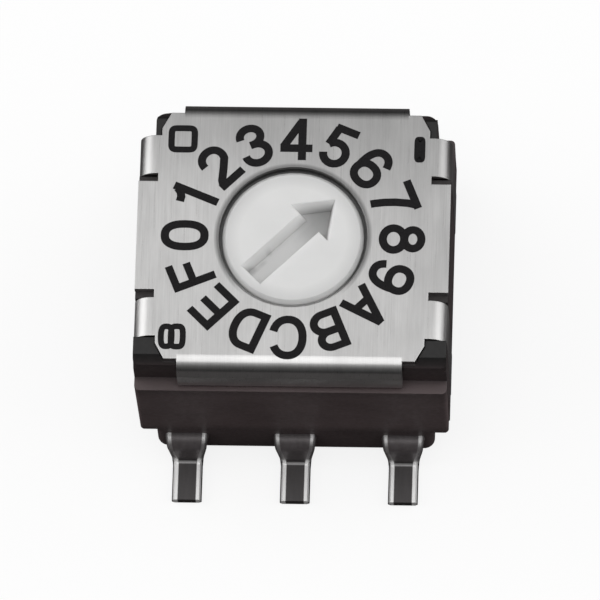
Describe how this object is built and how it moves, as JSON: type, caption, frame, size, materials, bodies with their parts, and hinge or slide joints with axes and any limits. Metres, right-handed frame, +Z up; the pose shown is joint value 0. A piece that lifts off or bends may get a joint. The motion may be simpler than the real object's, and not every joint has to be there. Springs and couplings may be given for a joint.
{
  "type": "rotary dip switch",
  "caption": "Square surface-mount rotary code switch with a white screwdriver-set rotor, brushed steel cover, black moulded body and gull-wing leads.",
  "frame": {"origin": "on the rotor axis, in the plane of the undersides of the lead feet", "axes": "+Z up along the rotor axis; the leads leave along +Y and -Y; +X to the right with position 4 at the back and position 8 on the right"},
  "size_m": [0.0074, 0.0098, 0.0047],
  "materials": {
    "cover_steel": "brushed",
    "body_black": "moulded",
    "rotor_white": "moulded",
    "lead_metal": "plated bright",
    "spring_steel": "plain",
    "disc_metal": "plated",
    "seal_rubber": "matt"
  },
  "bodies": {
    "body": {"housing": "body_black", "base": "body_black", "cover": "cover_steel", "detent_spring": "spring_steel", "common_contact": "lead_metal", "bit_1_contact": "lead_metal", "bit_2_contact": "lead_metal", "bit_4_contact": "lead_metal", "bit_8_contact": "lead_metal"},
    "rotor": {"rotor": "rotor_white", "seal_ring": "seal_rubber", "code_disc": "disc_metal"}
  },
  "joints": [
    {"name": "rotor_turn", "type": "hinge", "parent": "body", "child": "rotor", "pos_m": [0, 0, 0.003], "axis": [0, 0, 1], "continuous": true, "deforming": ["detent_spring"]}
  ]
}
